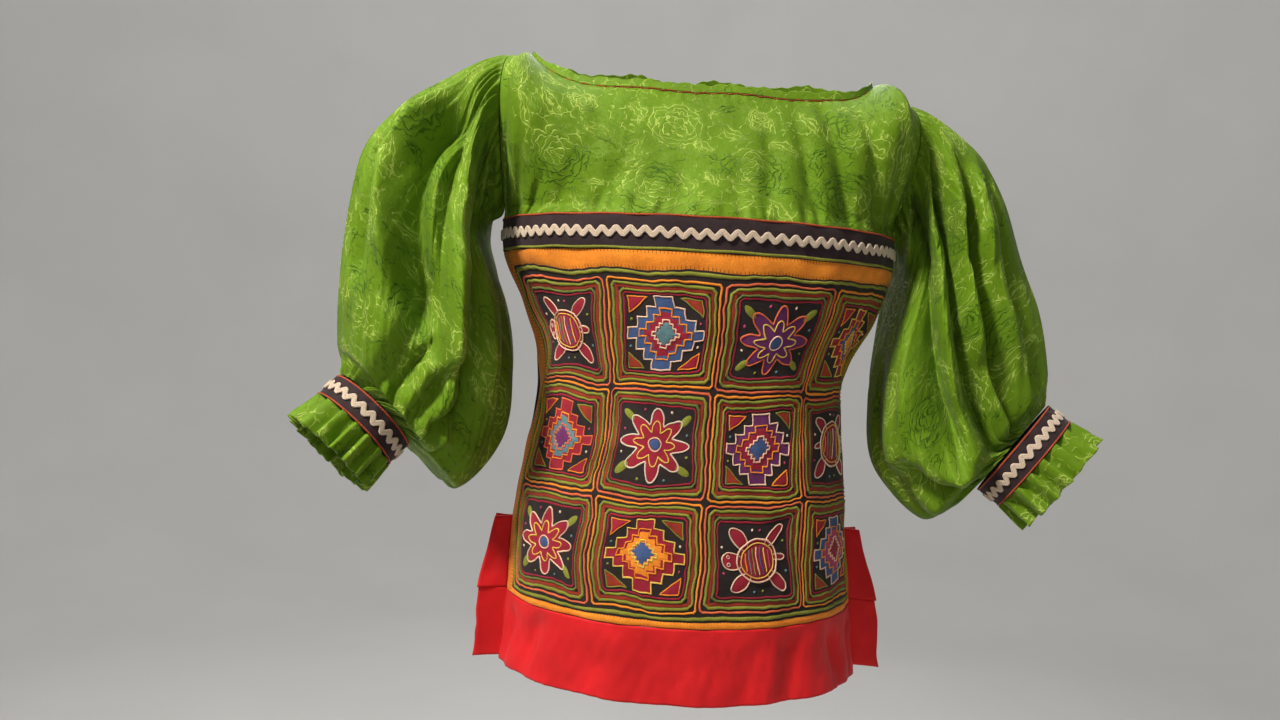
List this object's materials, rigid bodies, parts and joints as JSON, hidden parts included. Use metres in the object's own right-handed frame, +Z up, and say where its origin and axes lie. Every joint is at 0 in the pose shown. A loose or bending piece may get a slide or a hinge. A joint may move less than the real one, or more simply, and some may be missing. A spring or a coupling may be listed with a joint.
{
  "type": "blouse with sewn picture panels",
  "caption": "Wide-necked blouse with puffed damask sleeves, a braided chest band, sewn picture panels in many layers and a red hem with side vents.",
  "frame": {"origin": "middle of the neck opening, level with the front neckline", "axes": "+Z up, +X towards the garment's left-hand side as a viewer in front sees it on the right, the front faces -Y"},
  "size_m": [0.6752, 0.2228, 0.5217],
  "materials": {
    "damask": "green satin damask",
    "band_cloth": "dark brown plain cotton",
    "braid": "cream woven wavy braid",
    "rust_piping": "rust cotton piping",
    "green_piping": "yellow-green cotton piping",
    "panel_cloth": "orange, dark and red cottons sewn in layers",
    "hem_cloth": "smooth red cotton"
  },
  "bodies": {
    "root": {"yoke_front": "damask", "neck_binding_front": "damask", "chest_band_front": "band_cloth", "chest_piping_top_front": "rust_piping", "chest_piping_low_front": "green_piping", "rick_rack_front": "braid", "mola_panel_front": "panel_cloth", "hem_band_front": "hem_cloth", "side_strip_left_front": "hem_cloth", "side_strip_right_front": "hem_cloth", "yoke_back": "damask", "neck_binding_back": "damask", "chest_band_back": "band_cloth", "chest_piping_top_back": "rust_piping", "chest_piping_low_back": "green_piping", "rick_rack_back": "braid", "mola_panel_back": "panel_cloth", "hem_band_back": "hem_cloth", "side_strip_left_back": "hem_cloth", "side_strip_right_back": "hem_cloth", "sleeve_left": "damask", "cuff_band_left": "band_cloth", "cuff_piping_top_left": "rust_piping", "cuff_piping_low_left": "rust_piping", "rick_rack_cuff_left": "braid", "cuff_frill_left": "damask", "sleeve_right": "damask", "cuff_band_right": "band_cloth", "cuff_piping_top_right": "rust_piping", "cuff_piping_low_right": "rust_piping", "rick_rack_cuff_right": "braid", "cuff_frill_right": "damask"}
  },
  "joints": []
}
